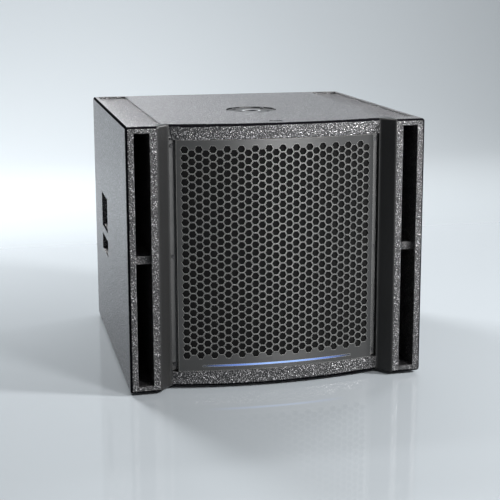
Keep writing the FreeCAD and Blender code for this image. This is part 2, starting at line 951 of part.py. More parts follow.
def driver_lead():
    """Two-core lead from the socket plate, over the brace, to the driver's terminals."""
    socket_x = socket_pitch / 2
    inlet = plate_y + plate_t - socket_body_l
    rest_z = window_floor + lead_r + 0.3
    z0 = terminal_z() - terminal_h / 2
    y0 = terminal_y + terminal_d
    points = [
        (0, y0, z0),
        (0, y0 + 32, z0),
        (24, y0 + 68, z0 - 16),
        (52, window_brace_y - 42, rest_z + 12),
        (62, window_brace_y - 2, rest_z),
        (64, window_brace_y + 46, rest_z + 1),
        (58, window_brace_y + 104, rest_z + 14),
        (52, window_brace_y + 164, rest_z + 44),
        (46, window_brace_y + 222, plate_z - 26),
        (socket_x + 4, inlet - 56, plate_z - 4),
        (socket_x, inlet - 24, plate_z),
        (socket_x, inlet, plate_z),
    ]
    return tube(points, lead_r)


def lead_clip():
    """Saddle that holds the lead on the back of the window brace."""
    y0 = window_brace_y + wall_t
    x = clip_x
    bore_r = lead_r + 0.9
    z = window_floor + lead_r + 0.6
    foot_half = 5.0
    foot_drop = 20.0
    screw_r = 1.8
    ring = y_rod(bore_r + clip_t, x, y0, z, clip_w).cut(y_rod(bore_r, x, y0 - 1, z, clip_w + 2))
    foot_top = z - bore_r - clip_t / 2
    foot = box(x - foot_half, x + foot_half, y0, y0 + clip_t, window_floor - foot_drop, foot_top)
    hole = y_rod(screw_r, x, y0 - 1, window_floor - foot_drop * 0.6, clip_t + 2)
    return ring.fuse(foot).cut(hole)


def rear_lining():
    """Polyester pad on the rear panel, open round the connectors and the handle cups."""
    x = side_in - cleat - lining_gap
    z0 = top_t + cleat + lining_t + lining_gap
    z1 = height - top_t - cleat - lining_gap
    pad = box(-x, x, rear_in - lining_t, rear_in, z0, z1)
    w = plate_w / 2 + 2 * lining_gap
    h = plate_z + plate_h / 2 + 2 * lining_gap
    pad = pad.cut(box(-w, w, rear_in - lining_t - 1, rear_in + 1, z0 - 1, h))
    return pad.cut(cup_lining_gap())


def cup_lining_gap():
    """Clear space round both handle cups."""
    reach = handle_w / 2 + cup_flange + 2 * lining_gap
    x0 = side_in - cup_depth - lining_gap
    z0 = handle_z0 - 3 * lining_gap
    z1 = handle_z1 + 3 * lining_gap
    right = box(x0, side_in + 1, handle_y - reach, handle_y + reach, z0, z1)
    return right.fuse(mirrored(right))


def floor_lining():
    """Polyester pad on the bottom panel behind the window brace."""
    x = side_in - lining_gap
    y0 = port_depth + lining_gap
    y1 = rear_in - cleat - lining_gap
    return box(-x, x, y0, y1, top_t, top_t + lining_t)


# ---------------------------------------------------------------- driver

def driver_points():
    return bolt_circle(driver_bolts, driver_pcd / 2)


def basket_profile():
    """Section of the cast basket: flange, rim wall, cone and motor seat."""
    return [
        (basket_in_r, flange_y),
        (driver_r, flange_y),
        (driver_r, baffle_setback),
        (basket_rim_r, baffle_setback),
        (basket_rim_r - 3.5, rim_y),
        (basket_seat_r + 2, seat_y),
        (magnet_bore_r + 2, seat_y),
        (magnet_bore_r + 2, seat_y - seat_t),
        (basket_seat_r - basket_t, seat_y - seat_t),
        (basket_in_r, rim_y - 1),
    ]


def wall_r(y):
    """Outer radius of the basket's conical wall at depth y."""
    share = (y - rim_y) / (seat_y - rim_y)
    start = basket_rim_r - 3.5
    return start + share * (basket_seat_r + 2 - start)


def terminal_z():
    return driver_z - wall_r(terminal_y + terminal_d / 2)


def basket():
    """Cast basket: flange, eight arms, a ledge for the spider and the seat of the motor."""
    body = revolved(basket_profile())
    body = body.cut(compound(basket_windows()))
    share = (ledge_y - rim_y) / (seat_y - rim_y)
    reach = basket_in_r + share * (basket_seat_r - basket_t - basket_in_r) + 2
    ledge = revolved([
        (ledge_in_r, ledge_y),
        (reach, ledge_y),
        (reach - 3, ledge_y + basket_t),
        (ledge_in_r, ledge_y + basket_t),
    ])
    bolt_r = driver_bolt_r + 0.2
    holes = [y_rod(bolt_r, x, flange_y - 1, z, driver_flange_t + 2) for x, z in driver_points()]
    return body.fuse(ledge).cut(tinsel_slot()).cut(compound(holes))


def basket_windows():
    """The gaps between the arms."""
    y0 = rim_y + 8
    length = seat_y - seat_t - 8 - y0
    pitch = 360.0 / basket_arms
    open_angle = pitch * 0.62
    axis = Vector(0, 1, 0)
    sector = Part.makeCylinder(driver_r, length, Vector(0, y0, driver_z), axis, open_angle)
    sector = sector.cut(y_rod(basket_seat_r + 4, 0, y0 - 1, driver_z, length + 2))
    windows = []
    for k in range(basket_arms):
        window = sector.copy()
        window.rotate(Vector(0, 0, driver_z), axis, pitch * k + (pitch - open_angle) / 2)
        windows.append(window)
    return windows


def tinsel_slot():
    """The opening in the lowest arm that the tinsel leads pass through."""
    half = 12.0
    z0 = driver_z - driver_r
    z1 = driver_z - basket_seat_r - 12
    slot = box(-half, half, terminal_y + 2, terminal_y + terminal_d - 3, z0, z1)
    r = driver_r - 20
    y0 = flange_y + 20
    y1 = ledge_y - 2
    return slot.common(revolved([(0, y0), (r, y0), (r, y1), (0, y1)]))


def driver_gasket():
    """Foam ring that clamps the surround's outer lip."""
    y1 = flange_y - surround_t
    y0 = y1 - driver_gasket_t
    r0 = basket_in_r + 2
    return revolved([(r0, y0), (r0 + lip_w, y0), (r0 + lip_w, y1), (r0, y1)])


def surround():
    """Half-roll edge between the cone and the basket."""
    centre = (cone_edge_r + basket_in_r) / 2
    roll = (basket_in_r - cone_edge_r) / 2
    front = flange_y - surround_t
    inner = cone_edge_r - lip_w
    outer = basket_in_r + lip_w
    points = [
        (inner, front),
        (cone_edge_r, front),
        (basket_in_r, front),
        (outer, front),
        (outer, flange_y),
        (basket_in_r - surround_t, flange_y),
        (cone_edge_r + surround_t, flange_y),
        (inner, flange_y),
    ]
    arcs = {
        1: (centre, flange_y - roll),
        5: (centre, flange_y - roll + surround_t),
    }
    return revolved(points, arcs)


def cone():
    inner = cone_edge_r - lip_w
    return revolved([
        (cone_edge_r, flange_y),
        (cone_edge_r, flange_y + cone_t),
        (inner + 1, flange_y + cone_t),
        (coil_r + former_t + 0.1, neck_y + cone_t),
        (coil_r + former_t + 0.1, neck_y),
        (inner, flange_y),
    ])


def cone_front_y(r):
    inner = cone_edge_r - lip_w
    return flange_y + (inner - r) / (inner - coil_r - former_t - 0.1) * cone_depth


def dust_cap():
    rim = cone_front_y(cap_r) - 0.4
    outer_mid = dome_point(cap_r, rim, cap_rise)
    inner_mid = dome_point(cap_r - 1.2, rim, cap_rise - 1.2)
    points = [(0, rim - cap_rise), (cap_r, rim), (cap_r - 1.2, rim), (0, rim - cap_rise + 1.2)]
    return revolved(points, {0: outer_mid, 2: inner_mid})


def dome_point(r, rim, rise):
    """A point half way along a dome from its top to its rim."""
    ball = (r ** 2 + rise ** 2) / (2 * rise)
    half = math.asin(r / ball) / 2
    return (ball * math.sin(half), rim - rise + ball * (1 - math.cos(half)))


def former():
    """Tube between the cone's neck and the coil."""
    y0 = neck_y - 4
    y1 = magnet_y + 10
    outer_r = coil_r + former_t
    return revolved([(coil_r, y0), (outer_r, y0), (outer_r, y1), (coil_r, y1)])


def winding():
    """Copper winding, centred in the gap of the top plate."""
    y0 = top_plate_y + top_plate_t / 2 - winding_l / 2
    y1 = y0 + winding_l
    r0 = coil_r + former_t
    r1 = r0 + winding_t
    return revolved([(r0, y0), (r1, y0), (r1, y1), (r0, y1)])


def spider():
    """Corrugated cloth disc that centres the coil."""
    hub_r = coil_r + former_t + 0.1
    r0 = hub_r + 3.4
    r1 = ledge_in_r + 1
    rim_r = ledge_in_r + 10
    front = ledge_y - spider_t
    step = (r1 - r0) / spider_waves
    points = [(hub_r, front)]
    arcs = {}
    for k in range(spider_waves + 1):
        points.append((r0 + k * step, front))
        if k < spider_waves:
            arcs[len(points) - 1] = (r0 + (k + 0.5) * step, front + spider_swing * (-1) ** k)
    points += [(rim_r, front), (rim_r, ledge_y)]
    for k in range(spider_waves, -1, -1):
        points.append((r0 + k * step, ledge_y))
        if k > 0:
            arcs[len(points) - 1] = (r0 + (k - 0.5) * step, ledge_y + spider_swing * (-1) ** (k - 1))
    points.append((hub_r, ledge_y))
    return revolved(points, arcs)


def top_plate():
    return revolved([(gap_r, top_plate_y), (motor_r, top_plate_y), (motor_r, magnet_y), (gap_r, magnet_y)])


def magnet():
    r1 = motor_r + 4
    r0 = magnet_bore_r
    return revolved([(r0, magnet_y), (r1, magnet_y), (r1, back_plate_y), (r0, back_plate_y)])


def yoke():
    """Back plate and pole piece in one forging, with a vent through the middle."""
    pole_y0 = top_plate_y - 4
    return revolved([
        (vent_r, pole_y0),
        (pole_piece_r, pole_y0),
        (pole_piece_r, back_plate_y),
        (motor_r, back_plate_y),
        (motor_r, motor_end),
        (vent_r, motor_end),
    ])


def driver_bolt_set():
    """Socket-head bolts through the basket flange."""
    y0 = flange_y
    length = driver_flange_t + baffle_t + 2
    bolts = []
    for x, z in driver_points():
        head = y_rod(bolt_head_r, x, y0 - bolt_head_h, z, bolt_head_h)
        head = head.cut(hex_recess(x, y0 - bolt_head_h - 1, z, bolt_head_h * 0.6))
        bolts.append(head.fuse(y_rod(driver_bolt_r - 0.1, x, y0, z, length)))
    return compound(bolts)


def hex_recess(x, y, z, length):
    r = bolt_socket_flats / math.sqrt(3)
    corners = []
    for k in range(7):
        a = math.radians(60 * k)
        corners.append(Vector(x + r * math.cos(a), y, z + r * math.sin(a)))
    return Part.Face(Part.makePolygon(corners)).extrude(Vector(0, length, 0))


def driver_tee_nuts():
    """Tee nuts pressed into the back of the baffle."""
    flange_t = 1.5
    nuts = []
    for x, z in driver_points():
        plate = y_rod(nut_plate_r, x, baffle_back, z, flange_t)
        barrel = y_rod(nut_barrel_r - 0.1, x, baffle_back - nut_barrel_l, z, nut_barrel_l)
        thread = y_rod(driver_bolt_r + 0.02, x, baffle_back - nut_barrel_l - 1, z, nut_barrel_l + 4)
        nuts.append(plate.fuse(barrel).cut(thread))
    return compound(nuts)


def terminal_block():
    """Moulded block on the basket's lowest arm, with two push terminals facing back."""
    y1 = terminal_y + terminal_d
    z0 = terminal_z() - terminal_h
    z1 = driver_z - wall_r(terminal_y) + terminal_h
    half = terminal_w / 2
    block = box(-half, half, terminal_y, y1, z0, z1)
    outside = revolved([(0, flange_y), (driver_r, flange_y)] + basket_profile()[2:6] + [(0, seat_y)])
    block = block.cut(outside)
    pin_half, pin_l, pin_t = 2.5, 7.0, 0.8
    pins = []
    for x in (-11.0, 11.0):
        pins.append(box(x - pin_half, x + pin_half, y1, y1 + pin_l, z0 + 4, z0 + 4 + pin_t))
    return block.fuse(pins)


def tinsel_leads():
    """Two braided leads from the terminals, through the slot in the arm, to the back of the cone."""
    r_start = wall_r(terminal_y + 8) - 6
    r_end = 96.0
    y_end = cone_front_y(r_end) + cone_t + tinsel_r + 0.8
    leads = []
    for side in (-1, 1):
        x = side * 7
        leads.append(tube([
            (x, terminal_y + 8, driver_z - r_start),
            (x, terminal_y + 9, driver_z - r_start + 14),
            (x, terminal_y + 5, driver_z - r_start + 30),
            (x, y_end + 14, driver_z - r_end - 16),
            (x, y_end, driver_z - r_end),
        ], tinsel_r))
    return compound(leads)


# ---------------------------------------------------------------- writing

def pieces():
    """Every sub-part by node name."""
    right_side = side_panel()
    right_wall = port_wall()
    right_brace = port_brace()
    right_cheek = cheek()
    right_batten = grille_batten()
    right_cup = handle_cup()
    right_skid = skid()
    return {
        "top_panel": top_panel(),
        "bottom_panel": bottom_panel(),
        "left_side_panel": mirrored(right_side),
        "right_side_panel": right_side,
        "rear_panel": rear_panel(),
        "driver_baffle": driver_baffle(),
        "left_port_wall": mirrored(right_wall),
        "right_port_wall": right_wall,
        "left_port_brace": mirrored(right_brace),
        "right_port_brace": right_brace,
        "upper_bow_rail": rail(height - rail_h, height - top_t),
        "lower_bow_rail": rail(top_t, rail_h),
        "left_cheek": mirrored(right_cheek),
        "right_cheek": right_cheek,
        "left_grille_batten": mirrored(right_batten),
        "right_grille_batten": right_batten,
        "baffle_cleats": baffle_cleats(),
        "rear_cleats": rear_cleats(),
        "window_brace": window_brace(),
        "grille": grille(),
        "grille_foam": grille_foam(),
        "grille_screws": grille_screws(),
        "lamp_strip": lamp_strip(),
        "lamp_housing": lamp_housing(),
        "left_skid": mirrored(right_skid),
        "right_skid": right_skid,
        "skid_screws": skid_screws(),
        "pole_socket": pole_socket(),
        "pole_socket_screws": pole_socket_screws(),
        "pole_block": pole_block_board(),
        "blanking_plug": blanking_plug(),
        "left_handle_cup": mirrored(right_cup),
        "right_handle_cup": right_cup,
        "handle_screws": handle_screws(),
        "connector_gasket": connector_gasket(),
        "connector_plate": connector_plate(),
        "speaker_sockets": speaker_sockets(),
        "socket_screws": socket_screws(),
        "plate_screws": plate_screws(),
        "driver_lead": driver_lead(),
        "lead_clip": lead_clip(),
        "rear_lining": rear_lining(),
        "floor_lining": floor_lining(),
        "driver_basket": basket(),
        "driver_gasket": driver_gasket(),
        "surround": surround(),
        "cone": cone(),
        "dust_cap": dust_cap(),
        "coil_former": former(),
        "coil_winding": winding(),
        "spider": spider(),
        "top_plate": top_plate(),
        "magnet": magnet(),
        "yoke": yoke(),
        "driver_bolts": driver_bolt_set(),
        "driver_tee_nuts": driver_tee_nuts(),
        "terminal_block": terminal_block(),
        "tinsel_leads": tinsel_leads(),
    }


def write(shapes):
    os.makedirs("parts", exist_ok=True)
    to_origin = Vector(0, -depth / 2, skid_h)
    for name, shape in shapes.items():
        shape.translate(to_origin)
        shape.exportStep("parts/" + name + ".step")


write(pieces())
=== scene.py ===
import bpy
import bmesh
import math
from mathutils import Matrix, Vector, noise


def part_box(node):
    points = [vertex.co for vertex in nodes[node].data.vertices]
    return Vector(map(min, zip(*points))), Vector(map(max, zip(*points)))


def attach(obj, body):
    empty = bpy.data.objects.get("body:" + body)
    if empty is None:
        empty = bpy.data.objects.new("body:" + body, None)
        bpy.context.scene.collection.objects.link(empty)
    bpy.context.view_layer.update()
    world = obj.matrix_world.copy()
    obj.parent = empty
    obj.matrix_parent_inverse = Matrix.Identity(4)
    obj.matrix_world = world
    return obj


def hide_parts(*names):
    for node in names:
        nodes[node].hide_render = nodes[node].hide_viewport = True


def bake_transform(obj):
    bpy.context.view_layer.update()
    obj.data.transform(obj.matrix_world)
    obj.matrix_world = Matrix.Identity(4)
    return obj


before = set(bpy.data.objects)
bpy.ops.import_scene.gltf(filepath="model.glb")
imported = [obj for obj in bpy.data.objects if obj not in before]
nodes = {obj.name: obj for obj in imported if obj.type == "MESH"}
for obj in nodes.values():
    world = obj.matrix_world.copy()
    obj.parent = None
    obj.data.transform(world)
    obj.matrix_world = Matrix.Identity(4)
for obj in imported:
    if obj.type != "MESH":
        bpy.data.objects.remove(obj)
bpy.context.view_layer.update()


# ---- Plywood shell ---------------------------------------------------------------------------
# Birch plywood boards, glued and screwed into a box, then sprayed all over with black polyurea.
# The coat dries to a hard glossy skin of small pebbles, a few millimetres across.

def add(tree, kind, inputs=None, **settings):
    """A shader node with its settings, each input a plain value or another node's output."""
    node = tree.nodes.new("ShaderNode" + kind)
    for name, value in settings.items():
        setattr(node, name, value)
    for name, value in (inputs or {}).items():
        if isinstance(value, bpy.types.NodeSocket):
            tree.links.new(value, node.inputs[name])
        else:
            node.inputs[name].default_value = value
    return node


def ramp(tree, factor, stops):
    """A colour ramp through (position, grey or colour) stops."""
    node = add(tree, "ValToRGB", {"Fac": factor})
    while len(node.color_ramp.elements) < len(stops):
        node.color_ramp.elements.new(0.5)
    for element, (position, colour) in zip(node.color_ramp.elements, stops):
        element.position = position
        element.color = (*colour, 1) if isinstance(colour, tuple) else (colour, colour, colour, 1)
    return node.outputs["Color"]


def maths(tree, operation, a, b=0.0):
    return add(tree, "Math", {0: a, 1: b}, operation=operation).outputs[0]


def between(tree, share, low, high):
    """A value that goes from low to high as the share goes from 0 to 1."""
    return add(tree, "MapRange", {"Value": share, "To Min": low, "To Max": high}).outputs[0]


def new_group(name, inputs, outputs):
    """An empty node group with named sockets, and its input and output nodes."""
    tree = bpy.data.node_groups.new(name, "ShaderNodeTree")
    for label, value in inputs.items():
        socket = tree.interface.new_socket(label, in_out="INPUT", socket_type="NodeSocketFloat")
        socket.default_value = value
    for label, kind in outputs.items():
        tree.interface.new_socket(label, in_out="OUTPUT", socket_type="NodeSocket" + kind)
    return tree, tree.nodes.new("NodeGroupInput"), tree.nodes.new("NodeGroupOutput")


def place(tree, group, **inputs):
    """A node group placed in a material; an underscore in an input's name stands for a space."""
    node = tree.nodes.new("ShaderNodeGroup")
    node.node_tree = group
    for name, value in inputs.items():
        socket = node.inputs[name.replace("_", " ")]
        if isinstance(value, bpy.types.NodeSocket):
            tree.links.new(value, socket)
        else:
            socket.default_value = value
    return node


def new_material(name, **fixed):
    """A material with the Principled sockets that are the same all over."""
    material = bpy.data.materials.new(name)
    material.use_nodes = True
    shader = material.node_tree.nodes["Principled BSDF"]
    for label, value in fixed.items():
        socket = shader.inputs[label.replace("_", " ")]
        socket.default_value = (*value, 1) if isinstance(value, tuple) else value
    return material, material.node_tree, shader


def wire(tree, shader, **outputs):
    for label, output in outputs.items():
        tree.links.new(output, shader.inputs[label.replace("_", " ")])


def bumped(tree, height, depth, strength=1.0, under=None):
    """A bump's normal: the height is 0 to 1, and depth its size in metres."""
    inputs = {"Height": height, "Distance": depth, "Strength": strength}
    if under is not None:
        inputs["Normal"] = under
    return add(tree, "Bump", inputs).outputs["Normal"]


def dress(material, *names):
    """Gives CAD nodes their material."""
    for name in names:
        mesh = nodes[name].data
        mesh.materials.clear()
        mesh.materials.append(material)


def pebble_group():
    """Sprayed pebble texture: rounded grains of uneven size with a fine orange peel on top."""
    tree, given, result = new_group(
        "pebble", {"Grain": 210.0, "Wander": 0.35}, {"Height": "Float", "Crest": "Float"})
    place_at = add(tree, "TexCoord").outputs["Object"]
    wander = add(tree, "TexNoise", {"Vector": place_at, "Scale": 95.0, "Detail": 2.0})
    step = (0.006, 0.006, 0.006)
    spread = add(tree, "VectorMath", {0: wander.outputs["Color"], 1: step}, operation="MULTIPLY")
    moved = add(tree, "VectorMath", {0: place_at, 1: spread.outputs[0]}, operation="ADD").outputs[0]
    cells = add(tree, "TexVoronoi", {"Vector": moved, "Scale": given.outputs["Grain"], "Smoothness": 0.6},
                feature="SMOOTH_F1")
    domes = maths(tree, "SUBTRACT", 1.0, cells.outputs["Distance"])
    swell = add(tree, "TexNoise", {"Vector": moved, "Scale": 150.0, "Detail": 3.0, "Roughness": 0.6})
    uneven = maths(tree, "MULTIPLY", swell.outputs["Fac"], given.outputs["Wander"])
    height = maths(tree, "ADD", domes, uneven)
    tree.links.new(height, result.inputs["Height"])
    crest = add(tree, "MapRange", {"Value": height, "From Min": 1.05, "From Max": 1.40}).outputs[0]
    tree.links.new(crest, result.inputs["Crest"])
    return tree


def dust_group():
    """Thin handling dust and smears: a slow mottling that lies thickest on faces that look up."""
    tree, given, result = new_group("dust", {"Amount": 0.3, "Size": 9.0}, {"Mask": "Float"})
    place_at = add(tree, "TexCoord").outputs["Object"]
    mottle = add(tree, "TexNoise", {"Vector": place_at, "Scale": given.outputs["Size"], "Detail": 6.0})
    facing = add(tree, "SeparateXYZ", {0: add(tree, "NewGeometry").outputs["Normal"]}).outputs["Z"]
    upward = add(tree, "MapRange", {"Value": facing, "From Min": -0.2, "From Max": 1.0, "To Min": 0.35})
    patches = ramp(tree, mottle.outputs["Fac"], [(0.35, 0.0), (0.75, 1.0)])
    lying = maths(tree, "MULTIPLY", patches, upward.outputs[0])
    tree.links.new(maths(tree, "MULTIPLY", lying, given.outputs["Amount"]), result.inputs["Mask"])
    return tree


def mixed(tree, mask, a, b):
    """A colour that goes from a to b with the mask."""
    inputs = {"Factor": mask}
    node = add(tree, "Mix", inputs, data_type="RGBA")
    for index, value in ((6, a), (7, b)):
        if isinstance(value, bpy.types.NodeSocket):
            tree.links.new(value, node.inputs[index])
        else:
            node.inputs[index].default_value = (*value, 1)
    return node.outputs[2]


def round_edge_group():
    """A mask for rounded edges, where the surface faces between two of the cabinet's axes."""
    tree, given, result = new_group("round_edge", {"Start": 0.05, "Full": 0.12}, {"Mask": "Float"})
    facing = add(tree, "SeparateXYZ", {0: add(tree, "TexCoord").outputs["Normal"]}).outputs
    sizes = [maths(tree, "ABSOLUTE", facing[axis]) for axis in "XYZ"]
    widest = maths(tree, "MAXIMUM", maths(tree, "MAXIMUM", sizes[0], sizes[1]), sizes[2])
    away = maths(tree, "SUBTRACT", 1.0, widest)
    span = {"Value": away, "From Min": given.outputs["Start"], "From Max": given.outputs["Full"]}
    tree.links.new(add(tree, "MapRange", span).outputs[0], result.inputs["Mask"])
    return tree


pebble = pebble_group()
dust = dust_group()
round_edge = round_edge_group()


def textured_paint():
    """Crests are coloured pale grey as painted glints, hollows stay black, and rounded edges get painted
    shade: near-black colour, no coat, no specular and a flatter bump.
    """
    material, tree, shader = new_material("textured_paint", IOR=1.5, Coat_Roughness=0.10, Coat_IOR=1.6,
                                          Coat_Tint=(1.0, 0.97, 1.0))
    grains = place(tree, pebble, Grain=300.0, Wander=0.9)
    dusty = place(tree, dust, Amount=0.06, Size=7.0)
    # Rounded-edge mask: these edges get painted shade below (near-black colour, no coat, no specular).
    shaded_edge = place(tree, round_edge, Start=0.02, Full=0.05).outputs["Mask"]
    # Painted highlight: pebble crests are coloured pale grey (0.30) to stand in for glints; hollows stay near
    # black.
    skin = mixed(tree, grains.outputs["Crest"], (0.002, 0.002, 0.002), (0.30, 0.30, 0.30))
    dulled = mixed(tree, dusty.outputs["Mask"], skin, (0.10, 0.10, 0.105))
    # Painted shade: rounded edges are coloured near black (0.004).
    colour = mixed(tree, shaded_edge, dulled, (0.004, 0.004, 0.005))
    soft_edge = add(tree, "Bevel", {"Radius": 0.0015}, samples=3).outputs["Normal"]
    flatter = maths(tree, "SUBTRACT", 1.0, maths(tree, "MULTIPLY", shaded_edge, 0.8))
    relief = bumped(tree, grains.outputs["Height"], 0.0020, flatter, soft_edge)
    gloss = between(tree, grains.outputs["Crest"], 0.42, 0.24)
    # One away from the rounded edges: coat and specular are switched off on the edges as painted shade.
    off_edge = maths(tree, "SUBTRACT", 1.0, shaded_edge)
    coated = between(tree, grains.outputs["Crest"], 0.55, 1.0)
    wire(tree, shader, Base_Color=colour, Roughness=gloss, Normal=relief, Coat_Normal=relief,
         Coat_Weight=maths(tree, "MULTIPLY", coated, off_edge),
         Specular_IOR_Level=maths(tree, "MULTIPLY", off_edge, 0.5))
    return material


paint = textured_paint()
dress(paint, "top_panel", "bottom_panel", "left_side_panel", "right_side_panel", "rear_panel",
      "left_port_wall", "right_port_wall", "left_port_brace", "right_port_brace",
      "upper_bow_rail", "lower_bow_rail", "left_grille_batten", "right_grille_batten")


# ---- Bare boards inside ----------------------------------------------------------------------
# Birch plywood that the spray gun doesn't reach: the driver's baffle, the brace and the glue
# blocks. Faces show pale grain along the sheet.

def wood_group():
    """Long grain along X, with fine pores and a slow change of tone."""
    tree, given, result = new_group(
        "birch_grain", {"Stretch": 14.0, "Rings": 60.0}, {"Tone": "Float", "Height": "Float"})
    place_at = add(tree, "TexCoord").outputs["Object"]
    parts = add(tree, "SeparateXYZ", {0: place_at}).outputs
    narrowed = maths(tree, "DIVIDE", parts["X"], given.outputs["Stretch"])
    along = add(tree, "CombineXYZ", {"X": narrowed, "Y": parts["Y"], "Z": parts["Z"]}).outputs[0]
    lines = {"Vector": along, "Scale": given.outputs["Rings"], "Detail": 7.0, "Roughness": 0.62}
    bands = add(tree, "TexNoise", lines)
    pores = add(tree, "TexNoise", {"Vector": along, "Scale": 900.0, "Detail": 2.0})
    tone = maths(tree, "ADD", maths(tree, "MULTIPLY", bands.outputs["Fac"], 0.75),
                 maths(tree, "MULTIPLY", pores.outputs["Fac"], 0.25))
    tree.links.new(tone, result.inputs["Tone"])
    tree.links.new(pores.outputs["Fac"], result.inputs["Height"])
    return tree


birch_grain = wood_group()


def bare_birch():
    material, tree, shader = new_material("bare_birch", IOR=1.45)
    grain = place(tree, birch_grain, Stretch=14.0, Rings=60.0)
    dusty = place(tree, dust, Amount=0.2, Size=12.0)
    stops = [(0.3, (0.36, 0.23, 0.12)), (0.5, (0.55, 0.39, 0.22)), (0.7, (0.66, 0.50, 0.31))]
    wood = ramp(tree, grain.outputs["Tone"], stops)
    colour = mixed(tree, dusty.outputs["Mask"], wood, (0.45, 0.40, 0.33))
    rough = between(tree, grain.outputs["Tone"], 0.75, 0.55)
    relief = bumped(tree, grain.outputs["Height"], 0.0002)
    wire(tree, shader, Base_Color=colour, Roughness=rough, Normal=relief)
    return material


dress(bare_birch(), "driver_baffle", "baffle_cleats", "rear_cleats", "window_brace", "pole_block")


# ---- Cheeks ----------------------------------------------------------------------------------
# Smooth mouldings between the columns and the grille, machined from dense board and sprayed with
# satin black lacquer. They are glued in, and show only a faint orange peel.

def grain_group():
    """Fine surface grain of lacquer, powder coat and moulded plastic."""
    tree, given, result = new_group(
        "grain", {"Size": 900.0, "Detail": 3.0}, {"Height": "Float", "Fleck": "Float"})
    place_at = add(tree, "TexCoord").outputs["Object"]
    specks = {"Vector": place_at, "Scale": given.outputs["Size"], "Detail": given.outputs["Detail"]}
    fine = add(tree, "TexNoise", specks)
    tree.links.new(fine.outputs["Fac"], result.inputs["Height"])
    tree.links.new(ramp(tree, fine.outputs["Fac"], [(0.42, 0.0), (0.68, 1.0)]), result.inputs["Fleck"])
    return tree


grain = grain_group()


def plain_finish(name, colour, fleck, rough, depth, size, dusting=0.15, **fixed):
    """A one-colour finish with fine grain, flecks of a second colour, thin dust and soft edges."""
    material, tree, shader = new_material(name, **fixed)
    skin = place(tree, grain, Size=size)
    dusty = place(tree, dust, Amount=dusting)
    spotted = mixed(tree, skin.outputs["Fleck"], colour, fleck)
    dulled = mixed(tree, dusty.outputs["Mask"], spotted, tuple(0.5 * c + 0.12 for c in colour))
    unevenness = 0.08
    span = {"Value": skin.outputs["Height"], "To Min": rough - unevenness, "To Max": rough + unevenness}
    gloss = add(tree, "MapRange", span)
    soft_edge = add(tree, "Bevel", {"Radius": 0.0007}, samples=3).outputs["Normal"]
    wire(tree, shader, Base_Color=dulled, Roughness=gloss.outputs[0],
         Normal=bumped(tree, skin.outputs["Height"], depth, 0.8, soft_edge))
    return material


lacquer = plain_finish("satin_lacquer", (0.010, 0.010, 0.010), (0.014, 0.014, 0.014), 0.36, 0.00012, 1100.0,
                       dusting=0.02, IOR=1.36)
dress(lacquer, "left_cheek", "right_cheek")


# ---- Grille ----------------------------------------------------------------------------------
# Mild steel sheet punched with hexagons, rolled to the bow and folded back at both sides, then
# powder coated. Six pan-head screws hold its flanges to the battens.

def edge_glint_group():
    """A mask that is strong along edges: where a wide bevel's normal leaves the surface's own."""
    tree, given, result = new_group("edge_glint", {"Reach": 0.0012, "Gain": 3.0}, {"Mask": "Float"})
    own = add(tree, "NewGeometry").outputs["Normal"]
    wide = add(tree, "Bevel", {"Radius": given.outputs["Reach"]}, samples=4).outputs["Normal"]
    alike = add(tree, "VectorMath", {0: own, 1: wide}, operation="DOT_PRODUCT").outputs["Value"]
    strong = maths(tree, "MULTIPLY", maths(tree, "SUBTRACT", 1.0, alike), given.outputs["Gain"])
    tree.links.new(add(tree, "Clamp", {0: strong}).outputs[0], result.inputs["Mask"])
    return tree


edge_glint = edge_glint_group()


def powder_coated_steel():
    """Dark grey coat with a soft sheen; the punched edges are coloured pale grey as a painted highlight."""
    material, tree, shader = new_material("powder_coat", Metallic=0.2, IOR=1.7)
    skin = place(tree, grain, Size=1500.0)
    wear_and_glint = place(tree, edge_glint, Reach=0.0009, Gain=7.0)
    coat = mixed(tree, skin.outputs["Fleck"], (0.022, 0.022, 0.022), (0.032, 0.032, 0.031))
    # Painted highlight: the punched hole edges are coloured pale grey (0.55).
    colour = mixed(tree, wear_and_glint.outputs["Mask"], coat, (0.55, 0.55, 0.53))
    rough = between(tree, skin.outputs["Height"], 0.30, 0.42)
    relief = bumped(tree, skin.outputs["Height"], 0.00008)
    wire(tree, shader, Base_Color=colour, Roughness=rough, Normal=relief)
    return material


dress(powder_coated_steel(), "grille")
black_steel = plain_finish("black_oxide", (0.03, 0.03, 0.032), (0.09, 0.09, 0.095), 0.32, 0.00004, 1300.0,
                           Metallic=0.8)
dress(black_steel, "grille_screws", "pole_socket_screws", "socket_screws", "plate_screws", "driver_bolts")


# ---- Grille foam -----------------------------------------------------------------------------
# Open-cell acoustic foam, 5 mm thick, glued to the back of the steel sheet. It follows the bow,
# and its skin rises a little where the holes leave it free.

def sheet_grid(name, columns, rows, point):
    """A closed sheet of quads: point(u, v, side) gives a place for u and v from 0 to 1, side 0 or 1."""
    mesh = bmesh.new()
    faces = []
    for side in (0, 1):
        faces.append([[mesh.verts.new(point(i / columns, j / rows, side)) for j in range(rows + 1)]
                      for i in range(columns + 1)])
    for side, grid in enumerate(faces):
        for i in range(columns):
            for j in range(rows):
                ring = [grid[i][j], grid[i + 1][j], grid[i + 1][j + 1], grid[i][j + 1]]
                mesh.faces.new(ring if side == 0 else ring[::-1])
    front, back = faces
    rim = [(i, 0) for i in range(columns)] + [(columns, j) for j in range(rows)]
    rim += [(i, rows) for i in range(columns, 0, -1)] + [(0, j) for j in range(rows, 0, -1)]
    for (a, b), (c, d) in zip(rim, rim[1:] + rim[:1]):
        mesh.faces.new([front[c][d], front[a][b], back[a][b], back[c][d]])
    bmesh.ops.recalc_face_normals(mesh, faces=mesh.faces)
    data = bpy.data.meshes.new(name)
    mesh.to_mesh(data)
    mesh.free()
    piece = bpy.data.objects.new(name, data)
    bpy.context.scene.collection.objects.link(piece)
    return piece


def smooth(piece):
    for face in piece.data.polygons:
        face.use_smooth = True
    return piece


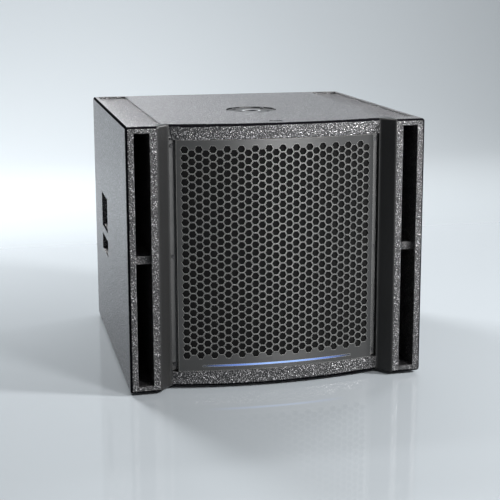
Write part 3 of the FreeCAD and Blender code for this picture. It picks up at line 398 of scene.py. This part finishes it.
def foam_material():
    material, tree, shader = new_material("open_cell_foam", IOR=1.4, Specular_IOR_Level=0.2)
    place_at = add(tree, "TexCoord").outputs["Object"]
    cells = add(tree, "TexVoronoi", {"Vector": place_at, "Scale": 1100.0}).outputs["Distance"]
    colour = ramp(tree, cells, [(0.1, 0.001), (0.6, 0.006)])
    wire(tree, shader, Base_Color=colour, Normal=bumped(tree, cells, 0.0008))
    shader.inputs["Roughness"].default_value = 0.95
    return material


def grille_foam():
    low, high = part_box("grille_foam")
    half = high.x
    thickness = 0.005
    drop = high.y - low.y - thickness
    radius = (half ** 2 + drop ** 2) / (2 * drop)
    hole_pitch = 0.0181
    column_step = hole_pitch * math.sqrt(3) / 2
    pattern_z = 0.314
    swell, swell_r = 0.0013, 0.0075

    def hole_swell(along, z):
        """How far the foam rises towards the nearest hole's centre."""
        best = 1.0
        for column in (math.floor(along / column_step - 0.5), math.floor(along / column_step - 0.5) + 1):
            shift = 0.5 * (column % 2)
            row = round((z - pattern_z) / hole_pitch - shift) + shift
            away = math.hypot(along - (column + 0.5) * column_step, z - pattern_z - row * hole_pitch)
            best = min(best, away / swell_r)
        return swell * (1 - best ** 2) if best < 1 else 0.0

    def point(u, v, side):
        along = (2 * u - 1) * radius * math.asin(half / radius)
        x = radius * math.sin(along / radius)
        z = low.z + v * (high.z - low.z)
        bow = low.y + radius - math.sqrt(radius ** 2 - x ** 2)
        lump = 0.0003 * noise.noise(Vector((x * 60, 0, z * 60)))
        return Vector((x, bow + (thickness if side else 0.0016 + lump - hole_swell(along, z)), z))

    piece = smooth(sheet_grid("grille_foam_sheet", 180, 196, point))
    piece.data.materials.append(foam_material())
    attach(piece, "cabinet_body")
    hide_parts("grille_foam")


grille_foam()


# ---- Lamp strip ------------------------------------------------------------------------------
# A clear acrylic bar in a slot of the grille's lower band, with a black channel behind it. Its blue glow
# is a painted highlight in its own material, strongest in the middle and fading out towards both ends.

def glowing_acrylic():
    material, tree, shader = new_material("glowing_acrylic", IOR=1.49, Roughness=0.15, Emission_Strength=1.0,
                                          Base_Color=(0.03, 0.035, 0.045))
    low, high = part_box("lamp_strip")
    place_at = add(tree, "TexCoord").outputs["Object"]
    across = add(tree, "SeparateXYZ", {0: place_at}).outputs["X"]
    share = add(tree, "MapRange", {"Value": across, "From Min": low.x, "From Max": high.x}).outputs[0]
    dark, middle = (0.0, 0.0, 0.0), (0.30, 0.50, 1.0)
    stops = [(0.02, dark), (0.22, (0.10, 0.20, 0.60)), (0.42, middle), (0.62, middle),
             (0.82, (0.10, 0.20, 0.60)), (0.98, dark)]
    # Painted highlight: the emission fades from blue in the middle to nothing at both ends.
    glow = ramp(tree, share, stops)
    grit = place(tree, grain, Size=700.0)
    wire(tree, shader, Emission_Color=glow, Normal=bumped(tree, grit.outputs["Height"], 0.00005))
    return material


moulded = plain_finish("moulded_plastic", (0.018, 0.018, 0.019), (0.032, 0.032, 0.034), 0.5, 0.00018, 800.0)
dress(glowing_acrylic(), "lamp_strip")
dress(moulded, "lamp_housing", "left_handle_cup", "right_handle_cup", "blanking_plug", "lead_clip",
      "terminal_block")


# ---- Skids -----------------------------------------------------------------------------------
# Two runners of black polyethylene under the bottom panel, screwed up into it. They sit in the
# pockets of the cabinet below, and their lower faces are scuffed pale along their length.

def scuffed_plastic():
    material, tree, shader = new_material("scuffed_polyethylene", IOR=1.5)
    skin = place(tree, grain, Size=600.0)
    place_at = add(tree, "TexCoord").outputs["Object"]
    parts = add(tree, "SeparateXYZ", {0: place_at}).outputs
    squeezed = maths(tree, "MULTIPLY", parts["Y"], 0.06)
    drawn = add(tree, "CombineXYZ", {"X": parts["X"], "Y": squeezed, "Z": parts["Z"]})
    scuffs = {"Vector": drawn.outputs[0], "Scale": 420.0, "Detail": 4.0}
    scratches = add(tree, "TexNoise", scuffs).outputs["Fac"]
    wear_and_glint = ramp(tree, scratches, [(0.56, 0.0), (0.66, 0.7)])
    colour = mixed(tree, wear_and_glint, mixed(tree, skin.outputs["Fleck"], (0.018, 0.018, 0.019), (0.03, 0.03, 0.031)),
                   (0.14, 0.14, 0.14))
    rough = between(tree, scratches, 0.35, 0.65)
    wire(tree, shader, Base_Color=colour, Roughness=rough, Normal=bumped(tree, scratches, 0.0002))
    return material


dress(scuffed_plastic(), "left_skid", "right_skid")


# ---- Pole socket and bright fixings ----------------------------------------------------------
# A pressed steel cup, blacked over zinc, that takes a loudspeaker pole. Four black screws go through
# its flange into a plywood block. The other hidden screws and tee nuts are plated too.

def zinc_plate():
    material, tree, shader = new_material("zinc_plate", Metallic=1.0)
    place_at = add(tree, "TexCoord").outputs["Object"]
    spangle = add(tree, "TexVoronoi", {"Vector": place_at, "Scale": 190.0}).outputs["Color"]
    tone = add(tree, "RGBToBW", {0: spangle}).outputs[0]
    skin = place(tree, grain, Size=500.0)
    colour = ramp(tree, tone, [(0.2, (0.62, 0.63, 0.66)), (0.8, (0.80, 0.81, 0.84))])
    rough = between(tree, tone, 0.22, 0.34)
    relief = bumped(tree, skin.outputs["Height"], 0.00006)
    wire(tree, shader, Base_Color=colour, Roughness=rough, Normal=relief)
    return material


def blacked_cup():
    """Black over zinc: poles have rubbed the rim of the bore bright, and the throat stays black."""
    material, tree, shader = new_material("blacked_cup", IOR=1.5)
    place_at = add(tree, "TexCoord").outputs["Object"]
    low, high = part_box("pole_socket")
    axis = ((low.x + high.x) / 2, (low.y + high.y) / 2, 0.0)
    level = add(tree, "VectorMath", {0: place_at, 1: (1.0, 1.0, 0.0)}, operation="MULTIPLY").outputs[0]
    reach = add(tree, "VectorMath", {0: level, 1: axis}, operation="DISTANCE").outputs["Value"]
    near_rim = add(tree, "MapRange", {"Value": reach, "From Min": 0.024, "From Max": 0.020}).outputs[0]
    depth_in = add(tree, "SeparateXYZ", {0: place_at}).outputs["Z"]
    lip = {"Value": depth_in, "From Min": high.z - 0.0012, "From Max": high.z - 0.0004}
    at_top = add(tree, "MapRange", lip).outputs[0]
    bright = maths(tree, "MULTIPLY", near_rim, at_top)
    skin = place(tree, grain, Size=500.0)
    coat = mixed(tree, skin.outputs["Fleck"], (0.010, 0.010, 0.011), (0.020, 0.020, 0.021))
    colour = mixed(tree, bright, coat, (0.85, 0.85, 0.87))
    rough = between(tree, bright, 0.40, 0.30)
    wire(tree, shader, Base_Color=colour, Metallic=bright, Roughness=rough,
         Normal=bumped(tree, skin.outputs["Height"], 0.00008))
    return material


dress(blacked_cup(), "pole_socket")
dress(zinc_plate(), "skid_screws", "handle_screws", "driver_tee_nuts")


# ---- Connector plate -------------------------------------------------------------------------
# A black steel plate on a rubber gasket at the back, with two four-pole locking sockets moulded
# in nylon. The plate hangs on six screws, and each socket on two.

dress(plain_finish("plate_coat", (0.02, 0.02, 0.022), (0.035, 0.035, 0.038), 0.4, 0.00010, 1200.0,
                   Metallic=0.3),
      "connector_plate")
dress(plain_finish("nylon", (0.012, 0.012, 0.014), (0.02, 0.02, 0.022), 0.28, 0.00005, 900.0),
      "speaker_sockets")
rubber = plain_finish("rubber", (0.015, 0.015, 0.015), (0.024, 0.024, 0.024), 0.7, 0.00012, 1000.0)
dress(rubber, "connector_gasket", "driver_lead", "driver_gasket")


# ---- Linings ---------------------------------------------------------------------------------
# Pads of needled polyester wadding, stapled to the rear panel and laid on the bottom panel. They
# are soft slabs with rounded, slightly lumpy edges and a matt tangle of fine white fibres.

def wadding_material():
    material, tree, shader = new_material("polyester_wadding", IOR=1.4, Sheen_Weight=0.4, Roughness=1.0)
    place_at = add(tree, "TexCoord").outputs["Object"]
    tufts = {"Vector": place_at, "Scale": 60.0, "Detail": 4.0, "Distortion": 2.5}
    swirl = add(tree, "TexNoise", tufts).outputs["Fac"]
    hairs = {"Vector": place_at, "Scale": 520.0, "Detail": 5.0, "Distortion": 4.0}
    fibres = add(tree, "TexNoise", hairs).outputs["Fac"]
    tangle = maths(tree, "ADD", maths(tree, "MULTIPLY", swirl, 0.4), maths(tree, "MULTIPLY", fibres, 0.6))
    colour = ramp(tree, tangle, [(0.35, (0.46, 0.46, 0.44)), (0.62, (0.80, 0.80, 0.77))])
    wire(tree, shader, Base_Color=colour, Normal=bumped(tree, tangle, 0.002))
    return material


def lumpy_pad(name, node, material):
    """The CAD pad's own outline, remeshed, with its corners rounded off and its faces uneven."""
    voxel, inset, lumps = 0.007, 0.0015, 0.0030
    data = nodes[node].data.copy()
    piece = bpy.data.objects.new(name, data)
    bpy.context.scene.collection.objects.link(piece)
    remesh = piece.modifiers.new("remesh", "REMESH")
    remesh.mode = "VOXEL"
    remesh.voxel_size = voxel
    relax = piece.modifiers.new("relax", "SMOOTH")
    relax.iterations = 6
    bpy.context.view_layer.update()
    shaped = bpy.data.meshes.new_from_object(piece.evaluated_get(bpy.context.evaluated_depsgraph_get()))
    piece.modifiers.clear()
    piece.data = shaped
    shaped.materials.clear()
    shaped.materials.append(material)
    normals = [v.normal.copy() for v in shaped.vertices]
    for vertex, normal in zip(shaped.vertices, normals):
        depth = inset + lumps * (0.5 + 0.5 * noise.noise(vertex.co * 22))
        vertex.co -= normal * depth
    smooth(piece)
    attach(piece, "cabinet_body")
    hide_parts(node)


wadding = wadding_material()
lumpy_pad("rear_wadding", "rear_lining", wadding)
lumpy_pad("floor_wadding", "floor_lining", wadding)


# ---- Driver basket and motor -----------------------------------------------------------------
# An eighteen inch driver, bolted to the front of the baffle: a cast aluminium basket in black
# stove enamel, and a ferrite ring magnet between machined steel plates.

enamel = plain_finish("stove_enamel", (0.025, 0.025, 0.027), (0.045, 0.045, 0.048), 0.38, 0.00025, 420.0,
                      Metallic=0.2)
dress(enamel, "driver_basket")
dress(plain_finish("ferrite", (0.04, 0.04, 0.043), (0.07, 0.07, 0.073), 0.6, 0.00015, 700.0), "magnet")
dress(plain_finish("machined_steel", (0.42, 0.42, 0.43), (0.56, 0.56, 0.57), 0.3, 0.00005, 500.0,
                   Metallic=1.0),
      "top_plate", "yoke")


# ---- Cone, cap and coil ----------------------------------------------------------------------
# The cone and its dust cap are pressed paper, ribbed and dyed black. A glass-fibre former, wound
# with copper wire, is glued into the neck. Together they slide in and out.

def paper_material():
    material, tree, shader = new_material("cone_paper", IOR=1.45)
    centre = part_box("driver_basket")
    middle = (centre[0] + centre[1]) / 2
    place_at = add(tree, "TexCoord").outputs["Object"]
    apart = {0: place_at, 1: (middle.x, 0, middle.z)}
    offset = add(tree, "VectorMath", apart, operation="SUBTRACT").outputs[0]
    flat = add(tree, "VectorMath", {0: offset, 1: (1, 0, 1)}, operation="MULTIPLY").outputs[0]
    reach = add(tree, "VectorMath", {0: flat}, operation="LENGTH").outputs["Value"]
    ribs = maths(tree, "SINE", maths(tree, "MULTIPLY", reach, 420.0))
    fibres = {"Vector": place_at, "Scale": 380.0, "Detail": 5.0, "Distortion": 1.5}
    pulp = add(tree, "TexNoise", fibres).outputs["Fac"]
    colour = ramp(tree, pulp, [(0.3, 0.022), (0.7, 0.055)])
    height = maths(tree, "ADD", maths(tree, "MULTIPLY", ribs, 0.5), maths(tree, "MULTIPLY", pulp, 0.4))
    rough = between(tree, pulp, 0.6, 0.85)
    wire(tree, shader, Base_Color=colour, Roughness=rough, Normal=bumped(tree, height, 0.0006))
    return material


def copper_material():
    """Enamelled wire: turns of wire 0.4 mm apart along the coil's axis."""
    material, tree, shader = new_material("enamelled_copper", Metallic=1.0)
    place_at = add(tree, "TexCoord").outputs["Object"]
    along = add(tree, "SeparateXYZ", {0: place_at}).outputs["Y"]
    turns = maths(tree, "SINE", maths(tree, "MULTIPLY", along, 2 * math.pi / 0.0004))
    # Painted shade: the copper colour darkens in the grooves between turns, following the same sine as the
    # bump.
    colour = ramp(tree, turns, [(0.0, (0.45, 0.16, 0.06)), (1.0, (0.80, 0.38, 0.20))])
    rough = between(tree, turns, 0.4, 0.25)
    wire(tree, shader, Base_Color=colour, Roughness=rough, Normal=bumped(tree, turns, 0.0001))
    return material


copper = copper_material()
dress(paper_material(), "cone", "dust_cap")
dress(plain_finish("glass_fibre", (0.5, 0.42, 0.25), (0.62, 0.54, 0.36), 0.45, 0.0001, 650.0), "coil_former")
dress(copper, "coil_winding")


# ---- Surround and spider ---------------------------------------------------------------------
# The surround is a half roll of doped cloth between cone and basket, and the spider a corrugated
# disc of resin-dipped cotton round the coil. Both flex; each is made here as a ring of sheet sectors.

def weave_group():
    """Plain weave: threads over and under each other on a square grid in X and Z across the driver's face."""
    tree, given, result = new_group("weave", {"Threads": 900.0}, {"Height": "Float", "Thread": "Float"})
    place_at = add(tree, "TexCoord").outputs["Object"]
    parts = add(tree, "SeparateXYZ", {0: place_at}).outputs
    warp = maths(tree, "SINE", maths(tree, "MULTIPLY", parts["X"], given.outputs["Threads"]))
    weft = maths(tree, "SINE", maths(tree, "MULTIPLY", parts["Z"], given.outputs["Threads"]))
    crossing = maths(tree, "MULTIPLY", warp, weft)
    tree.links.new(crossing, result.inputs["Height"])
    tree.links.new(maths(tree, "MULTIPLY_ADD", crossing, 0.5), result.inputs["Thread"])
    return tree


weave = weave_group()


def cloth_material(name, dark, light, threads, rough):
    material, tree, shader = new_material(name, IOR=1.45, Roughness=rough, Sheen_Weight=0.2)
    threads_at = place(tree, weave, Threads=threads)
    # Painted shade: threads are coloured darker where they dip under, following the weave's relief.
    colour = ramp(tree, threads_at.outputs["Thread"], [(0.0, dark), (0.5, light)])
    wire(tree, shader, Base_Color=colour, Normal=bumped(tree, threads_at.outputs["Height"], 0.0002))
    return material


def flexing_ring(name, node, sectors, profile, thickness, material):
    """A ring cut into sectors, each a sheet running from the basket's side to the cone's side."""
    steps = 8
    low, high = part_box("driver_basket")
    axis_z = (low.z + high.z) / 2
    sweep = 2 * math.pi / sectors
    for k in range(sectors):
        def point(u, v, side):
            r, y = profile(v)
            angle = k * sweep + u * sweep
            return Vector((r * math.cos(angle), y + side * thickness, axis_z + r * math.sin(angle)))

        piece = smooth(sheet_grid("%s_%02d" % (name, k + 1), steps, 48, point))
        piece.data.materials.append(material)
        hub = Vector((0, profile(0.0)[1], axis_z))
        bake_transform(piece)
        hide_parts(node)


def surround():
    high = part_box("surround")[1]
    cone_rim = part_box("cone")[1].x
    thickness = 0.0012
    lip = 0.009
    outer = high.x
    inner = cone_rim - lip
    flat_y = high.y - thickness
    roll_out = outer - lip
    roll_in = inner + lip
    roll = (roll_out - roll_in) / 2

    def profile(v):
        """From the basket's lip, over the half roll, to the cone's lip."""
        if v < 0.15:
            return outer - lip * v / 0.15, flat_y
        if v > 0.85:
            return roll_in - lip * (v - 0.85) / 0.15, flat_y
        angle = math.pi * (v - 0.15) / 0.7
        return (roll_out + roll_in) / 2 + roll * math.cos(angle), flat_y - roll * math.sin(angle)

    doped = cloth_material("doped_cloth", (0.012, 0.012, 0.012), (0.04, 0.04, 0.04), 3600.0, 0.55)
    flexing_ring("surround", "surround", 16, profile, thickness, doped)


def spider():
    low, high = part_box("spider")
    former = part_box("coil_former")[1].x
    waves, swing, thickness, lip = 10, 0.003, 0.001, 0.010
    outer = high.x
    middle_y = (low.y + high.y) / 2 - thickness / 2
    wave_out = outer - lip

    def profile(v):
        r = outer + (former + 0.0001 - outer) * v
        share = min(max((wave_out - r) / (wave_out - former - 0.003), 0.0), 1.0)
        return r, middle_y + swing * math.sin(math.pi * waves * share) * min(1.0, 8 * (1 - share))

    dipped = cloth_material("dipped_cotton", (0.26, 0.15, 0.04), (0.52, 0.34, 0.12), 2600.0, 0.7)
    flexing_ring("spider", "spider", 12, profile, thickness, dipped)


surround()
spider()


# ---- Tinsel leads ----------------------------------------------------------------------------
# Two flexible leads of braided copper tinsel, soldered from the terminal block to the back of the
# cone. Each hangs in a soft bend, so the cone can travel.

def braid_material():
    material, tree, shader = new_material("braided_tinsel", Metallic=1.0)
    place_at = add(tree, "TexCoord").outputs["Object"]
    parts = add(tree, "SeparateXYZ", {0: place_at}).outputs
    strands = 5200.0
    upward = maths(tree, "MULTIPLY", parts["Z"], strands)
    lay = maths(tree, "ADD", upward, maths(tree, "MULTIPLY", parts["X"], strands))
    strands = maths(tree, "SINE", lay)
    # Painted shade: the braid colour darkens in the hollows between strands, following the same sine as the
    # bump.
    colour = ramp(tree, strands, [(0.0, (0.36, 0.15, 0.07)), (1.0, (0.72, 0.40, 0.24))])
    rough = between(tree, strands, 0.5, 0.3)
    wire(tree, shader, Base_Color=colour, Roughness=rough, Normal=bumped(tree, strands, 0.0002))
    return material


def tinsel_leads():
    material = braid_material()
    low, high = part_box("tinsel_leads")
    radius = 0.0012
    for name, side in (("left", -1), ("right", 1)):
        x = side * (high.x - radius)
        terminal = Vector((x, high.y - 0.0035, low.z + 0.001))
        cone_end = Vector((x, low.y + 0.0025, high.z - 0.001))
        route = [terminal, terminal + Vector((0, 0.001, 0.014)), terminal + Vector((0, -0.003, 0.030)),
                 cone_end + Vector((0, 0.014, -0.016)), cone_end]
        curve = bpy.data.curves.new("tinsel_route", "CURVE")
        curve.dimensions = "3D"
        spline = curve.splines.new("NURBS")
        spline.points.add(len(route) - 1)
        for control, place_at in zip(spline.points, route):
            control.co = (*place_at, 1)
        spline.order_u = 3
        spline.use_endpoint_u = True
        curve.bevel_depth = radius
        curve.bevel_resolution = 4
        curve.use_fill_caps = True
        route_object = bpy.data.objects.new("tinsel_route", curve)
        bpy.context.scene.collection.objects.link(route_object)
        bpy.context.view_layer.update()
        data = bpy.data.meshes.new_from_object(route_object)
        bpy.data.objects.remove(route_object)
        piece = bpy.data.objects.new(name + "_tinsel_lead", data)
        bpy.context.scene.collection.objects.link(piece)
        data.materials.clear()
        data.materials.append(material)
        smooth(piece)
        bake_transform(piece)
        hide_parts("tinsel_leads")


tinsel_leads()


# ---- Studio ----------------------------------------------------------------------------------
# A pale polished floor that sweeps up into a back wall, soft boxes above, in front and to the
# right, and a wash of light on the floor behind the cabinet's left side.

def studio_material():
    material, tree, shader = new_material("studio_floor", IOR=1.42)
    place_at = add(tree, "TexCoord").outputs["Object"]
    back = add(tree, "SeparateXYZ", {0: place_at}).outputs["Y"]
    span = {"Value": back, "From Min": 0.2, "From Max": 3.4, "To Min": 0.03, "To Max": 1.0}
    polish = add(tree, "MapRange", span, interpolation_type="SMOOTHSTEP").outputs[0]
    cloud = add(tree, "TexNoise", {"Vector": place_at, "Scale": 0.35, "Detail": 1.0}).outputs["Fac"]
    wire(tree, shader, Roughness=polish,
         Base_Color=ramp(tree, cloud, [(0.2, (0.24, 0.26, 0.275)), (0.8, (0.26, 0.28, 0.295))]))
    return material


def studio_sweep():
    """Floor, curve and wall as one smooth sheet."""
    half, front, back, bend, top = 9.0, -7.0, 5.5, 2.5, 7.0
    outline = [Vector((front, 0))]
    steps = 24
    for k in range(steps + 1):
        a = math.pi / 2 * k / steps
        outline.append(Vector((back - bend + bend * math.sin(a), bend - bend * math.cos(a))))
    outline.append(Vector((back, top)))
    mesh = bmesh.new()
    rows = [[mesh.verts.new((x, p.x, p.y)) for x in (-half, half)] for p in outline]
    for a, b in zip(rows, rows[1:]):
        mesh.faces.new([a[0], a[1], b[1], b[0]])
    data = bpy.data.meshes.new("studio_sweep")
    mesh.to_mesh(data)
    mesh.free()
    sweep = bpy.data.objects.new("studio_sweep", data)
    bpy.context.scene.collection.objects.link(sweep)
    data.materials.append(studio_material())
    smooth(sweep)


def soft_box(name, place_at, target, width, height, power, colour=(1, 1, 1)):
    light = bpy.data.lights.new(name, "AREA")
    light.shape = "RECTANGLE"
    light.size = width
    light.size_y = height
    light.energy = power
    light.color = colour
    lamp = bpy.data.objects.new(name, light)
    lamp.location = place_at
    lamp.rotation_euler = (Vector(target) - Vector(place_at)).to_track_quat("-Z", "Y").to_euler()
    bpy.context.scene.collection.objects.link(lamp)
    return lamp


def studio_light():
    soft_box("key_box", (2.7, -1.5, 2.0), (0.1, 0, 0.3), 0.45, 0.45, 215)
    soft_box("front_top_box", (1.3, -2.6, 2.4), (0.2, 0, 0.5), 0.6, 0.5, 100)
    soft_box("front_low_box", (1.05, -4.1, 0.45), (0, 0, 0.5), 0.9, 0.7, 40)
    soft_box("left_wash", (-1.2, 2.2, 2.6), (-0.70, 1.8, 0.0), 0.8, 0.8, 205)
    soft_box("right_kicker", (2.2, 1.3, 2.2), (-0.2, 0, 0.6), 0.5, 0.5, 35)
    soft_box("back_wash", (0.6, 2.4, 4.4), (0.6, 4.6, 0.9), 4.4, 1.0, 235)
    world = bpy.data.worlds.new("studio_world")
    bpy.context.scene.world = world
    world.use_nodes = True
    backing = world.node_tree.nodes["Background"]
    backing.inputs["Color"].default_value = (0.80, 0.86, 0.92, 1)
    backing.inputs["Strength"].default_value = 0.15


def studio_camera():
    yaw, pitch = math.radians(14.011), math.radians(10.628)
    data = bpy.data.cameras.new("camera")
    data.sensor_width = 36.0
    data.lens = 85.5
    data.shift_x = -0.0396
    data.shift_y = -0.0986
    camera = bpy.data.objects.new("camera", data)
    camera.location = (-0.6529, -2.8665, 0.9200)
    view = Vector((math.sin(yaw) * math.cos(pitch), math.cos(yaw) * math.cos(pitch), -math.sin(pitch)))
    camera.rotation_euler = view.to_track_quat("-Z", "Y").to_euler()
    bpy.context.scene.collection.objects.link(camera)
    bpy.context.scene.camera = camera


studio_sweep()
studio_light()
studio_camera()
bpy.context.scene.view_settings.view_transform = "Standard"
